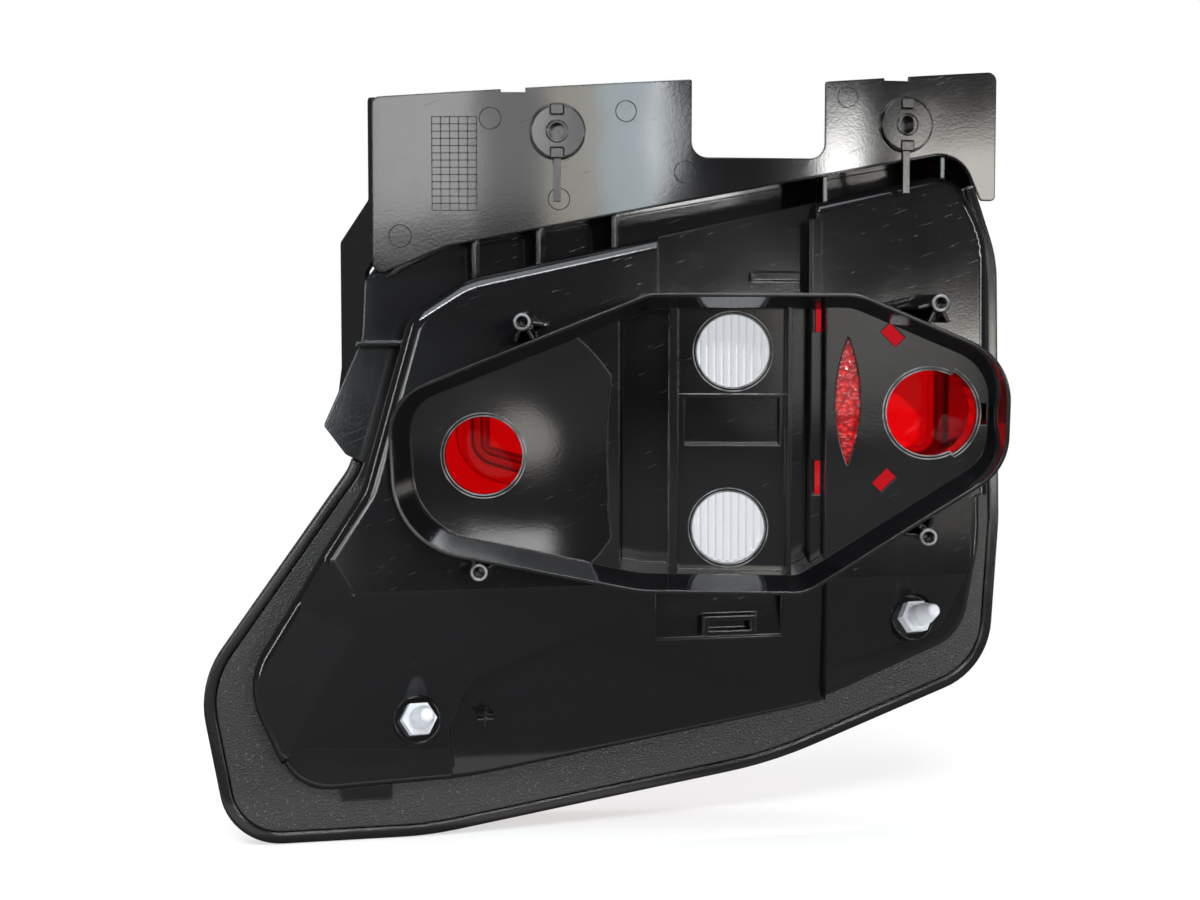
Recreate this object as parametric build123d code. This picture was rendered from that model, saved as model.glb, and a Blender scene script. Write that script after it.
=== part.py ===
from build123d import *
import math
import os

# Tail light cluster. X runs to the right seen from the back, Z up, Y from the back towards the lens.
# The origin is the centre of the round screw hole, on the rear face of its boss.
# The black moulding is given as six pieces that meet face to face:
# housing, trim flange, bulb well and the three bays of the well.

# Wall of the moulding, and lengths that run past the whole lamp
WALL = 2.5
REACH = 900.0
NEAR_Y = -150.0
FAR_Y = 225.0

# Parting plane between housing and lens: its depth at the origin and its slopes along X and Z
PART_Y = 30.0
PART_SLOPE_X = 0.25
PART_SLOPE_Z = 0.08

# Outlines seen from the back, as corners (x, z, corner radius)
RIM_FLANGE = [
    (-78.0, -62.0, 16.0),
    (-50.0, -48.5, 50.0),
    (186.0, -3.5, 18.0),
    (203.0, -55.0, 60.0),
    (204.0, -180.0, 100.0),
    (199.0, -248.0, 30.0),
    (98.0, -286.0, 200.0),
    (-58.0, -311.0, 150.0),
    (-139.0, -311.0, 22.0),
    (-152.0, -245.0, 38.0),
    (-87.0, -150.0, 30.0),
]
PAN = [
    (-64.0, -82.0, 14.0),
    (-40.0, -66.0, 40.0),
    (182.0, -15.0, 16.0),
    (198.0, -46.0, 40.0),
    (198.5, -190.0, 60.0),
    (190.0, -234.0, 24.0),
    (120.0, -262.0, 120.0),
    (-40.0, -290.0, 120.0),
    (-114.0, -293.0, 22.0),
    (-137.0, -243.0, 32.0),
    (-84.0, -158.0, 30.0),
]
WELL = [
    (-69.0, -118.0, 22.0),
    (42.0, -74.0, 14.0),
    (130.0, -74.0, 25.0),
    (193.0, -101.0, 26.0),
    (192.0, -146.0, 24.0),
    (108.0, -199.5, 14.0),
    (38.0, -199.0, 60.0),
    (-66.0, -179.0, 34.0),
]
# The floor of the gutter reaches past the rim flange at the upper left
APRON = [
    (-72.0, -56.0, 1.0),
    (-79.0, -56.0, 1.0),
    (-87.0, -66.0, 4.0),
    (-88.0, -92.0, 20.0),
    (-104.5, -131.0, 2.0),
    (-95.0, -144.0, 2.0),
    (-80.0, -152.0, 1.0),
]
# The lower middle of the back shell lies deeper than its sides
MIDDLE = [
    (-47.0, -330.0, 1.0),
    (-47.0, -263.0, 8.0),
    (-36.0, -242.0, 12.0),
    (30.0, -214.5, 14.0),
    (48.0, -180.0, 4.0),
    (122.0, -180.0, 4.0),
    (123.5, -330.0, 1.0),
]
# Two benches along the lower edge of the back shell
BENCHES = [
    [
        (-120.0, -330.0, 1.0),
        (-120.0, -277.0, 4.0),
        (-108.0, -271.5, 8.0),
        (-46.0, -275.5, 2.0),
        (-46.0, -330.0, 1.0),
    ],
    [
        (123.0, -330.0, 1.0),
        (123.0, -243.0, 2.0),
        (176.0, -227.5, 12.0),
        (190.0, -196.0, 14.0),
        (190.5, -165.0, 3.0),
        (230.0, -165.0, 1.0),
        (230.0, -330.0, 1.0),
    ],
]
CLEAR_WINDOW = [
    (50.0, -70.0, 6.0),
    (107.0, -70.0, 6.0),
    (107.0, -206.0, 6.0),
    (50.0, -206.0, 6.0),
]

# Back shell: height of the shelf over the parting plane, and where the lower slope begins and ends
SHELF_RISE = 34.0
EDGE_RISE = 13.0
LOWER_CREASE_Z = -202.0
LOWER_EDGE_Z = -286.0
SHELL_EDGE_R = 6.0
# Its dented left side: two facets, each through three points (x, z, height over the parting plane)
SIDE_FACETS = [
    [(-103.7, -174.0, 34.0), (-86.5, -212.6, 31.4), (-131.0, -210.0, 13.0)],
    [(-87.5, -222.0, 29.0), (-111.1, -263.8, 18.6), (-134.0, -236.0, 13.0)],
]
# Height of the lower middle over the parting plane, where the lower slope begins and ends
MIDDLE_TOP_RISE = 30.5
MIDDLE_EDGE_RISE = 7.0
MIDDLE_EDGE_R = 3.0
FLANGE_PLATE = 2.5

# Pockets in the back shell, as x, z and the height of the floor over the parting plane
POCKETS = {
    "above_well": ((45.0, 118.0), (-76.0, 10.0), 26.0),
    "below_well": ((44.0, 102.0), (-228.0, -196.0), 22.0),
}
LEDGE_X = (88.0, 110.0)
LEDGE_Z = (-66.0, -62.0)
LEDGE_RISE = 30.0
KEEPER_X = (66.0, 90.0)
KEEPER_Z = (-226.5, -217.5)
KEEPER_RISE = 28.0
KEEPER_BAR = 2.4

# Height of the benches, the bar beside the upper pocket, the cross-shaped pin and the tab below the left bench
BENCH_RISE = 7.5
BENCH_EDGE_R = 3.0
BAR_X = (115.0, 119.5)
BAR_Z = (-76.0, -38.0)
BAR_RISE = 36.0
CROSS_PIN = (-31.0, -261.0)
CROSS_ARM = 3.6
CROSS_THICK = 1.2
CROSS_RISE = 22.0
CROSS_FOOT = 12.6
TAB_X = (-95.0, -74.0)
TAB_Z = (-298.0, -291.5)
TAB_RISE = 5.0

# Carrier well: rim, funnel and floors, with Y of the rear faces
RIM_Y = -45.0
WELL_WALL = 1.6
FUNNEL_END_Y = -25.0
FUNNEL_DRAFT = 4.5
BOWL_R = 300.0
TAIL_FLOOR_Y = -18.0
CENTRE_FLOOR_Y = -10.0
TRENCH_FLOOR_Y = 12.0
RECESS_FLOOR_Y = 0.0
BAY_EDGE_X = 23.0
BAY_EDGE_R = 368.0
LEFT_TRENCH = (28.5, 50.0)
CENTRE_BAY = (54.0, 101.5)
RIGHT_TRENCH = (103.5, 112.5)
SLIT_STRIP = (112.5, 118.0)
RECESS_Z = (-139.0, -118.2)
RECESS_X = (57.0, 99.0)

# Bulb openings: centre x, z and radius
TAIL_HOLE = (-31.7, -143.5, 17.2)
TURN_HOLE = (78.3, -97.6, 16.0)
REVERSE_HOLE = (76.4, -176.0, 16.0)
FOG_HOLE = (162.8, -124.0, 18.4)
FOG_STEP_R = 20.4
FOG_STEP_ANGLE = 62.0
HOLE_COLLAR = 2.0
HOLE_COLLAR_WALL = 1.8

# Slots in the right bay: x, z, turn, length and width
FOG_SLOTS = [
    (146.7, -90.3, -45.0, 9.0, 5.5),
    (143.5, -153.2, 45.0, 9.0, 5.5),
    (186.0, -124.5, 90.0, 9.0, 2.6),
]
REFLEX_X = 127.6
REFLEX_Z = -119.0
REFLEX_LENGTH = 56.0
REFLEX_WIDTH = 10.6
REFLEX_LAND = 1.4
REFLEX_THICK = 4.0
SLIT_WIDTH = 3.6
SLITS_Z = [(-89.0, -79.0), (-161.0, -146.0)]

# Screw posts round the well: x, z and the direction of the web to the collar
POSTS = [(-12.5, -84.6, -60.0), (164.5, -76.6, -115.0), (-31.3, -192.0, 75.0), (160.5, -176.0, 125.0)]
POST_R = 4.0
POST_BORE_R = 2.2
POST_BORE_DEPTH = 14.0
POST_TOP_Y = -44.0
WEB = 1.6
WEB_REACH = 9.0
WEB_SPREAD = 52.0
WEB_DROP = 6.0

# Trim flange: a plate curved about a vertical axis
FLANGE_R = 900.0
FLANGE_AXIS_X = -60.0
FLANGE_LEFT_X = -83.0
FLANGE_RIGHT_X = 200.5
FLANGE_TOP_LEFT_Z = 15.5
FLANGE_TOP_MID_Z = 23.5
FLANGE_TOP_RIGHT_Z = 30.0
FLANGE_CORNER_R = 4.0
EDGE_RECESSES = [(-25.3, -14.2, 17.4), (147.5, 158.7, 24.6)]
NOTCH_X = (60.0, 120.3)
NOTCH_BOTTOM_Z = -11.0
NOTCH_R = 7.0
NOTCH_MOUTH_R = 1.0
STRAP_END = (193.5, -29.0)
STRAP_CORNER_R = 2.0
FOLD_CORNER_R = 16.0
FOLD_END_Z = -22.0
GUTTER_RIBS_X = [-38.0, -9.0, 25.0, 121.0, 176.0]
GUTTER_RIB = 2.0
GUTTER_RIB_DROP = 5.0
SIDE_RIB_Z = -94.5
SIDE_RIB_RISE = 12.0

# Screw bosses on the trim flange
BOSS_R = 12.3
BOSS_RISE = 2.5
BOSS_FRONT_RISE = 1.5
SCREW_R = 3.5
SLOT_HOLE = (157.7, 4.8)
SLOT_LENGTH = 7.8
SLOT_WIDTH = 5.6
CAP_NOTCH_WIDTH = 6.0
CAP_NOTCH_HEIGHT = 4.6
CAP_NOTCH_Z = 9.6

# Screw caps: a disc on the lens side of the boss, two legs and a strap
CAP_R = 11.6
CAP_THICK = 1.8
CAP_CLEARANCE = 0.3
CAP_LEG_PROUD = 0.6
STRAP_WIDTH = 3.2
STRAP_THICK = 1.2
STRAP_DROP = 31.0

# Side wing: a plate that leaves the flange's left end, as corners (along the wing, z)
WING_ANGLE = 33.7
WING_THICK = 2.5
WING = [(0.0, 15.5), (5.0, 15.5), (5.0, -30.0), (36.0, -48.0), (36.0, -106.0), (44.0, -131.0),
        (30.0, -143.0), (21.0, -134.0), (9.5, -62.0), (0.0, -56.0)]
WING_CORNER_R = 2.0

# Locating pins: the middle of each seat, and the direction the pins point
PIN_DIRECTION = (0.36, -1.0, 0.33)
PIN_SEATS = {"left": (-60.6, -26.8, -259.8), "right": (162.8, 23.0, -221.0)}
PIN_BOSS_R = 10.5
PIN_BOSS_DEPTH = 17.0
PIN_SPOT_FACE = 12.0
HEX_FLATS = 13.5
HEX_HEIGHT = 5.5
PIN_SHOULDER_R = 4.9
PIN_STRAIGHT = 8.0
PIN_TAPER = 9.0
PIN_TIP_R = 2.9
PIN_TIP_ROUND = 0.8
SHANK_R = 2.9
SHANK_LENGTH = 10.0
SHANK_CLEARANCE = 0.1

# Lens: a shell whose front is part of an upright cylinder
LENS_LIP = 5.5
LENS_GAP = 0.6
LENS_BACK = 0.5
LENS_WALL = 3.0
LENS_LEDGE = 3.0
LENS_LEDGE_REACH = 8.0
LENS_R = 600.0
LENS_RISE = 40.0
LENS_MIDDLE = (27.0, -160.0)
SEAL = 1.5
SEAL_INSET = (1.0, 7.0)
FLUTE_R = 2.1
FLUTE_PITCH = 3.7
FLUTE_COUNT = 13
FLUTE_END_GAP = 5.0

# Faceted reflector bowls, as (neck, depth, front radius). Their sides bend once: at a share of the length past
# the neck, with a share of the widening.
BOWL_WALL = 1.4
BOWL_NECK_GAP = 0.3
BOWL_BULGE = (0.35, 0.6)
BOWL_FACETS = 24
TAIL_BOWL = (4.0, 38.0, 33.0)
CENTRE_BOWL = (11.0, 56.0, 25.0)
FOG_BOWL = (20.0, 80.0, 27.0)
OPTIC_THICK = 2.4
OPTIC_STEP = 0.8
OPTIC_STEPS = 3
OPTIC_STEP_WIDTH = 6.5

PART_NORM = math.sqrt(1 + PART_SLOPE_X**2 + PART_SLOPE_Z**2)
FORWARD = Vector(-PART_SLOPE_X, 1, -PART_SLOPE_Z).normalized()
LOWER_SLOPE = (SHELF_RISE - EDGE_RISE) / (LOWER_CREASE_Z - LOWER_EDGE_Z)
MIDDLE_SLOPE = (MIDDLE_TOP_RISE - MIDDLE_EDGE_RISE) / (LOWER_CREASE_Z - LOWER_EDGE_Z)
PIN_AXIS = Vector(*PIN_DIRECTION).normalized()
FLANGE_AXIS_Y = BOSS_RISE + math.sqrt(FLANGE_R**2 - FLANGE_AXIS_X**2)


def rounded(corners):
    """A flat outline from corners (x, z, radius)."""
    points = [(x, z) for x, z, _ in corners]
    radii = [r for _, _, r in corners]
    return make_face(FilletPolyline(points, radius=radii, close=True))


def back_plane(y):
    """The plane across Y at depth y: its own x is X, its own y is Z, and it faces the back."""
    return Plane(origin=(0, y, 0), x_dir=(1, 0, 0), z_dir=(0, -1, 0))


def prism(outline, y_near=NEAR_Y, y_far=FAR_Y):
    """An outline carried along Y."""
    return extrude(back_plane(y_far) * outline, amount=y_far - y_near)


def strip(x_range, z_range):
    """A flat upright rectangle between two x and two z."""
    wide, tall = x_range[1] - x_range[0], z_range[1] - z_range[0]
    return Pos(x_range[0] + wide / 2, z_range[0] + tall / 2) * Rectangle(wide, tall)


def spot(hole):
    """A flat disc at a bulb opening."""
    x, z, r = hole
    return Pos(x, z) * Circle(r)


def part_depth(x, z):
    """Depth of the parting plane."""
    return PART_Y + PART_SLOPE_X * x + PART_SLOPE_Z * z


def ahead_of(depth, slope_x=PART_SLOPE_X, slope_z=PART_SLOPE_Z):
    """All space on the lens side of the plane Y = depth + slope_x X + slope_z Z."""
    plane = Plane(origin=(0, depth, 0), x_dir=(1, slope_x, 0), z_dir=(-slope_x, 1, -slope_z))
    return plane * Box(REACH, REACH, REACH, align=(Align.CENTER, Align.CENTER, Align.MIN))


def slab(near, far):
    """All space between two planes parallel to the parting plane, at these depths past it along Y."""
    plane = Plane(origin=(0, PART_Y + near, 0), x_dir=(1, PART_SLOPE_X, 0), z_dir=FORWARD)
    height = (far - near) / PART_NORM
    return plane * Box(REACH, REACH, height, align=(Align.CENTER, Align.CENTER, Align.MIN))


def lower_plane(rise, slope, inset):
    """All space on the lens side of a plane that falls from this height at the top of the lower slope."""
    return ahead_of(PART_Y - rise + LOWER_CREASE_Z * slope + inset, PART_SLOPE_X, PART_SLOPE_Z - slope)


def facet(points, inset):
    """All space on the lens side of the plane through three points (x, z, height over the parting plane)."""
    (x, z, height), *others = points
    (ax, az, ah), (bx, bz, bh) = [(p[0] - x, p[1] - z, p[2] - height) for p in others]
    area = ax * bz - bx * az
    rise_x = (ah * bz - bh * az) / area
    rise_z = (ax * bh - bx * ah) / area
    depth = PART_Y - height + rise_x * x + rise_z * z
    return ahead_of(depth + inset, PART_SLOPE_X - rise_x, PART_SLOPE_Z - rise_z)


def pan_form(space, inset, radius):
    """The pan's outline inside this space, with its back edges rounded."""
    body = (prism(offset(rounded(PAN), -inset)) & space) - ahead_of(PART_Y + FLANGE_PLATE + inset)
    return fillet([e for e in body.edges() if is_back_edge(e)], radius - inset)


def shell_form(inset):
    """The back shell's outer form, or its hollow when inset by the wall."""
    dent = facet(SIDE_FACETS[0], inset) + facet(SIDE_FACETS[1], inset)
    shelf = ahead_of(PART_Y - SHELF_RISE + inset)
    body = pan_form(shelf & lower_plane(SHELF_RISE, LOWER_SLOPE, inset) & dent, inset, SHELL_EDGE_R)
    middle = pan_form(lower_plane(MIDDLE_TOP_RISE, MIDDLE_SLOPE, inset), inset, MIDDLE_EDGE_R)
    body -= prism(offset(rounded(MIDDLE), inset)) - middle
    bench = pan_form(ahead_of(PART_Y - BENCH_RISE + inset), inset, BENCH_EDGE_R)
    for outline in BENCHES:
        body -= prism(offset(rounded(outline), inset)) - bench
    for (x_low, x_high), (z_low, z_high), rise in POCKETS.values():
        pocket = strip((x_low - inset, x_high + inset), (z_low - inset, z_high + inset))
        body -= prism(pocket) - ahead_of(PART_Y - rise + inset)
    return body


def is_back_edge(edge):
    """Does an edge of the back shell lie on its back, clear of the parting plane?"""
    p = edge @ 0.5
    q = edge @ 0.0
    r = edge @ 1.0
    level = [v.Y - part_depth(v.X, v.Z) for v in (p, q, r)]
    return max(level) < -BENCH_RISE / 3


def flange_y(x):
    """Depth of the trim flange's rear face."""
    return FLANGE_AXIS_Y - math.sqrt(FLANGE_R**2 - (x - FLANGE_AXIS_X) ** 2)


def flange_cylinder(inset):
    """All space under the flange's rear face, at a depth inset from it."""
    return Pos(FLANGE_AXIS_X, FLANGE_AXIS_Y, 0) * Cylinder(FLANGE_R - inset, REACH)


def flange_outline():
    """The trim flange from the back: plate, notch and the strap at its right end."""
    corners = [
        (FLANGE_LEFT_X, FLANGE_TOP_LEFT_Z, FLANGE_CORNER_R),
        (NOTCH_X[0], FLANGE_TOP_MID_Z, NOTCH_MOUTH_R),
        (NOTCH_X[0], NOTCH_BOTTOM_Z, NOTCH_R),
        (NOTCH_X[1], NOTCH_BOTTOM_Z, NOTCH_R),
        (NOTCH_X[1], FLANGE_TOP_MID_Z, NOTCH_MOUTH_R),
        (FLANGE_RIGHT_X, FLANGE_TOP_RIGHT_Z, FLANGE_CORNER_R),
        (FLANGE_RIGHT_X, STRAP_END[1], STRAP_CORNER_R),
        (STRAP_END[0], STRAP_END[1], STRAP_CORNER_R),
        (RIM_FLANGE[2][0] - WALL, RIM_FLANGE[2][1] - WALL, FOLD_CORNER_R),
        (RIM_FLANGE[1][0], RIM_FLANGE[1][1] - WALL, FLANGE_CORNER_R),
        (FLANGE_LEFT_X, RIM_FLANGE[0][1] - WALL, FLANGE_CORNER_R),
    ]
    outline = rounded(corners)
    for x_low, x_high, z_low in EDGE_RECESSES:
        outline -= strip((x_low, x_high), (z_low, FLANGE_TOP_RIGHT_Z + WALL))
    return outline


def slot_plane():
    """The plane of the slotted boss's rear face, facing the back."""
    x, z = SLOT_HOLE
    sine = (x - FLANGE_AXIS_X) / FLANGE_R
    outward = Vector(sine, -math.sqrt(1 - sine**2), 0)
    face = Vector(x, flange_y(x), z) + outward * BOSS_RISE
    return Plane(origin=face, x_dir=(-outward.Y, outward.X, 0), z_dir=outward)


BOSS_LENGTH = BOSS_RISE + WALL + BOSS_FRONT_RISE
BOSS_PLANES = {"round": back_plane(0), "slot": slot_plane()}


def boss_solid(plane):
    """A screw boss through the flange, from its rear face."""
    return plane * extrude(Circle(BOSS_R), amount=-BOSS_LENGTH)


def boss_cuts(plane, hole):
    """What is cut from a boss: the screw hole, two leg notches and the strap's channel."""
    through = hole + Pos(0, CAP_NOTCH_Z) * Rectangle(CAP_NOTCH_WIDTH, CAP_NOTCH_HEIGHT)
    through += Pos(0, -CAP_NOTCH_Z) * Rectangle(CAP_NOTCH_WIDTH, CAP_NOTCH_HEIGHT)
    channel = Pos(0, -BOSS_R) * Rectangle(STRAP_WIDTH + 2 * CAP_CLEARANCE, BOSS_R - CAP_NOTCH_Z + WALL)
    cut = extrude(through, amount=-2 * BOSS_LENGTH, both=True)
    return plane * (cut + extrude(channel, amount=-BOSS_RISE))


def screw_cap(plane, drop):
    """A cap on the lens side of a boss, with two legs through the notches and a strap behind the flange."""
    disc = Pos(0, 0, -BOSS_LENGTH) * extrude(Circle(CAP_R), amount=-CAP_THICK)
    leg = Rectangle(CAP_NOTCH_WIDTH - 2 * CAP_CLEARANCE, CAP_NOTCH_HEIGHT - 2 * CAP_CLEARANCE)
    length = BOSS_LENGTH + CAP_LEG_PROUD
    cap = disc
    for side in (1, -1):
        cap += Pos(0, side * CAP_NOTCH_Z, -BOSS_LENGTH) * extrude(leg, amount=length)
    low = -BOSS_RISE + CAP_CLEARANCE
    band = strip((-STRAP_WIDTH / 2, STRAP_WIDTH / 2), (-drop, -CAP_NOTCH_Z))
    cap += Pos(0, 0, low) * extrude(band, amount=STRAP_THICK)
    return plane * cap


def flange_plate():
    """The plate of the trim flange."""
    return (prism(flange_outline()) & flange_cylinder(0)) - flange_cylinder(WALL)


def trim_flange():
    """The curved flange with the side wing and the two screw bosses."""
    flange = (flange_plate() + side_wing()) - lens_room()
    slot = Rot(0, 0, 90) * SlotOverall(SLOT_LENGTH, SLOT_WIDTH)
    for name, hole in (("round", Circle(SCREW_R)), ("slot", slot)):
        flange += boss_solid(BOSS_PLANES[name])
        flange -= boss_cuts(BOSS_PLANES[name], hole)
    return flange


def gutter_floor():
    """The outline of the rim flange and of the apron beside it."""
    return rounded(RIM_FLANGE) + rounded(APRON)


def gutter_wall():
    """The wall from the flange's lower edge down to the rim flange."""
    rim = rounded(RIM_FLANGE)
    fold = (rim - offset(rim, -WALL)) & offset(flange_outline(), WALL)
    fold -= strip((NOTCH_X[1], REACH / 2), (-REACH / 2, FOLD_END_Z))
    return (prism(fold) & flange_cylinder(WALL)) - ahead_of(PART_Y + FLANGE_PLATE)


def gutter_ribs():
    """Cross ribs in the gutter between the fold and the back shell."""
    gutter = gutter_floor() - offset(rounded(PAN), -WALL / 2)
    side = gutter & strip((-REACH / 2, 0), (SIDE_RIB_Z - GUTTER_RIB / 2, SIDE_RIB_Z + GUTTER_RIB / 2))
    ribs = [prism(side) & slab(-SIDE_RIB_RISE, FLANGE_PLATE)]
    for x in GUTTER_RIBS_X:
        band = gutter & strip((x - GUTTER_RIB / 2, x + GUTTER_RIB / 2), (LOWER_CREASE_Z, FLANGE_TOP_MID_Z))
        rib = prism(band, flange_y(x) + GUTTER_RIB_DROP)
        ribs.append(rib - ahead_of(PART_Y + FLANGE_PLATE))
    return ribs


def side_wing():
    """The plate that runs from the flange's left end towards the lens side."""
    turn = math.radians(WING_ANGLE)
    along = Vector(-math.sin(turn), math.cos(turn), 0)
    start = Vector(FLANGE_LEFT_X + WALL, flange_y(FLANGE_LEFT_X) + WALL / 2, 0)
    plane = Plane(origin=start, x_dir=along, z_dir=along.cross(Vector(0, 0, 1)))
    outline = rounded([(s, z, WING_CORNER_R) for s, z in WING])
    return extrude(plane * outline, amount=-WING_THICK)


def bay_outlines():
    """The straight pockets below the funnel, as (outline, floor depth)."""
    inner = offset(rounded(WELL), -FUNNEL_DRAFT)
    tall = (-REACH / 2, 0)
    bow = Pos(BAY_EDGE_X + BAY_EDGE_R, TAIL_HOLE[1]) * Circle(BAY_EDGE_R)
    yield (inner & strip((-REACH / 2, LEFT_TRENCH[0]), tall)) - bow, TAIL_FLOOR_Y
    yield inner & strip(LEFT_TRENCH, tall), TRENCH_FLOOR_Y
    yield inner & strip(CENTRE_BAY, tall), CENTRE_FLOOR_Y
    yield inner & strip(RIGHT_TRENCH, tall), TRENCH_FLOOR_Y
    yield inner & strip(SLIT_STRIP, tall), CENTRE_FLOOR_Y
    yield strip(RECESS_X, RECESS_Z), RECESS_FLOOR_Y


def funnel(side, floor):
    """The tapered mouth of the well, or its outside when grown by the walls of its side and floor."""
    mouth = offset(rounded(WELL), side)
    end = offset(rounded(WELL), side - FUNNEL_DRAFT)
    return loft([back_plane(RIM_Y) * mouth, back_plane(FUNNEL_END_Y + floor) * end], ruled=True)


def tail_bowl(grow):
    """The ball that rounds the floor of the left bay."""
    x, z, r = TAIL_HOLE
    sag = BOWL_R - math.sqrt(BOWL_R**2 - r**2)
    return Pos(x, TAIL_FLOOR_Y + sag - BOWL_R, z) * Sphere(BOWL_R + grow)


def hole_floors():
    """Each bulb opening with the depth of its floor."""
    return [
        (TAIL_HOLE, TAIL_FLOOR_Y),
        (TURN_HOLE, CENTRE_FLOOR_Y),
        (REVERSE_HOLE, CENTRE_FLOOR_Y),
        (FOG_HOLE, FUNNEL_END_Y),
    ]


def fog_opening():
    """The right opening: a disc with a wider stretch on its right side."""
    x, z, r = FOG_HOLE
    reach = 3 * FOG_STEP_R
    turn = math.radians(FOG_STEP_ANGLE)
    high = (x + reach * math.cos(turn), z + reach * math.sin(turn))
    low = (x + reach * math.cos(turn), z - reach * math.sin(turn))
    wedge = make_face(Polyline((x, z), low, (x + reach, z), high, close=True))
    return spot(FOG_HOLE) + (spot((x, z, FOG_STEP_R)) & wedge)


def reflex_outline(grow):
    """The pointed upright slot, or the insert's edge when grown."""
    half_long, half_wide = REFLEX_LENGTH / 2 + 2 * grow, REFLEX_WIDTH / 2 + grow
    arc_r = (half_long**2 + half_wide**2) / (2 * half_wide)
    shift = arc_r - half_wide
    lens = Pos(shift, 0) * Circle(arc_r) & Pos(-shift, 0) * Circle(arc_r)
    return Pos(REFLEX_X, REFLEX_Z) * lens


def well_cups():
    """The well's walls and floors before its hollows are cut."""
    cups = funnel(WELL_WALL, WALL)
    for outline, floor in bay_outlines():
        cup = prism(offset(outline, WALL), FUNNEL_END_Y - WALL, floor + WALL)
        if floor == TAIL_FLOOR_Y:
            cup &= tail_bowl(WALL)
        cups += cup
    for hole, floor in hole_floors():
        x, z, r = hole
        outer = FOG_STEP_R if hole == FOG_HOLE else r
        cups += prism(spot((x, z, outer + HOLE_COLLAR_WALL)), floor, floor + WALL + HOLE_COLLAR)
    return cups


def well_cuts():
    """The hollows of the well, its openings and its slots, one by one."""
    yield funnel(0, 0)
    for outline, floor in bay_outlines():
        bay = prism(outline, FUNNEL_END_Y - WALL, floor)
        yield bay & tail_bowl(0) if floor == TAIL_FLOOR_Y else bay
    for hole, floor in hole_floors():
        opening = fog_opening() if hole == FOG_HOLE else spot(hole)
        yield prism(opening, FUNNEL_END_Y - WALL, floor + WALL + HOLE_COLLAR + WALL)
    for x, z, turn, long, wide in FOG_SLOTS:
        slot = Pos(x, z) * Rot(0, 0, turn) * Rectangle(long, wide)
        yield prism(slot, FUNNEL_END_Y - WALL, FUNNEL_END_Y + 2 * WALL)
    yield prism(reflex_outline(0), FUNNEL_END_Y - WALL, FUNNEL_END_Y + 2 * WALL)
    middle = (SLIT_STRIP[0] + SLIT_STRIP[1]) / 2
    for z_range in SLITS_Z:
        slit = strip((middle - SLIT_WIDTH / 2, middle + SLIT_WIDTH / 2), z_range)
        yield prism(slit, CENTRE_FLOOR_Y - WALL, CENTRE_FLOOR_Y + 2 * WALL)


def well_zone():
    """All that lies inside the well's outer wall."""
    return prism(offset(rounded(WELL), WELL_WALL), RIM_Y)


def collar_foot():
    """All space on the lens side of the foot of the well's collar and of the posts."""
    lowest = min(rise for _, _, rise in POCKETS.values())
    return ahead_of(PART_Y - lowest + WALL)


def bay_zone(x_range):
    """All space past the end of the funnel, inside the collar, between two x."""
    return prism(offset(rounded(WELL), -WELL_WALL / 2) & strip(x_range, (-REACH / 2, 0)), FUNNEL_END_Y)


def well_piece(form):
    """A form of the well with its hollows, openings and slots cut."""
    for cut in well_cuts():
        form -= cut
    return form


def bulb_well():
    """The collar and the funnel that take the bulb carrier."""
    collar = well_zone() - prism(rounded(WELL), RIM_Y) - collar_foot()
    return well_piece(collar + (well_cups() - bay_zone((-REACH / 2, REACH / 2))))


def bulb_bay(x_range):
    """The floor of the well between two x, with its tubs, openings and slots."""
    return well_piece(well_cups() & bay_zone(x_range))


def screw_posts():
    """The four carrier screw posts with their webs."""
    posts = []
    for x, z, turn in POSTS:
        posts.append(prism(spot((x, z, POST_R)), POST_TOP_Y))
        for swing, reach in ((0, 2 * WEB_REACH), (WEB_SPREAD, WEB_REACH), (-WEB_SPREAD, WEB_REACH)):
            web = Pos(x, z) * Rot(0, 0, turn + swing) * strip((0, reach), (-WEB / 2, WEB / 2))
            posts.append(prism(web, POST_TOP_Y + WEB_DROP))
    return posts


def lens_room():
    """The space the lip of the lens needs round the rim flange."""
    rim = rounded(RIM_FLANGE)
    ring = offset(rim, LENS_LIP + LENS_GAP) - rim
    return prism(ring) & ahead_of(PART_Y + LENS_BACK - LENS_GAP)


def latch_keeper():
    """The upright frame in the pocket below the well."""
    inner_x = (KEEPER_X[0] + KEEPER_BAR, KEEPER_X[1] - KEEPER_BAR)
    inner_z = (KEEPER_Z[0] + KEEPER_BAR, KEEPER_Z[1] - KEEPER_BAR)
    frame = strip(KEEPER_X, KEEPER_Z) - strip(inner_x, inner_z)
    return prism(frame) & slab(-KEEPER_RISE, WALL / 2 - POCKETS["below_well"][2])


def pocket_ledge():
    """The small block on the floor of the pocket above the well."""
    return prism(strip(LEDGE_X, LEDGE_Z)) & slab(-LEDGE_RISE, WALL / 2 - POCKETS["above_well"][2])


def upright_bar():
    """The bar between the pocket above the well and the right shelf."""
    return prism(strip(BAR_X, BAR_Z)) & slab(-BAR_RISE, WALL / 2 - POCKETS["above_well"][2])


def cross_pin():
    """The cross-shaped pin on the lower middle."""
    cross = Rectangle(2 * CROSS_ARM, CROSS_THICK) + Rectangle(CROSS_THICK, 2 * CROSS_ARM)
    return prism(Pos(*CROSS_PIN) * cross) & slab(-CROSS_RISE, -CROSS_FOOT)


def pin_plane(side):
    """The seat of a locating pin, facing the way the pin points."""
    return Plane(origin=PIN_SEATS[side], x_dir=(1, PIN_DIRECTION[0], 0), z_dir=PIN_AXIS)


def pin_block(side, radius, top):
    """A round block about a pin's axis, from the foot of its boss to this height over the seat."""
    foot = pin_plane(side) * Pos(0, 0, -PIN_BOSS_DEPTH)
    return foot * Cylinder(radius, PIN_BOSS_DEPTH + top, align=(Align.CENTER, Align.CENTER, Align.MIN))


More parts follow.
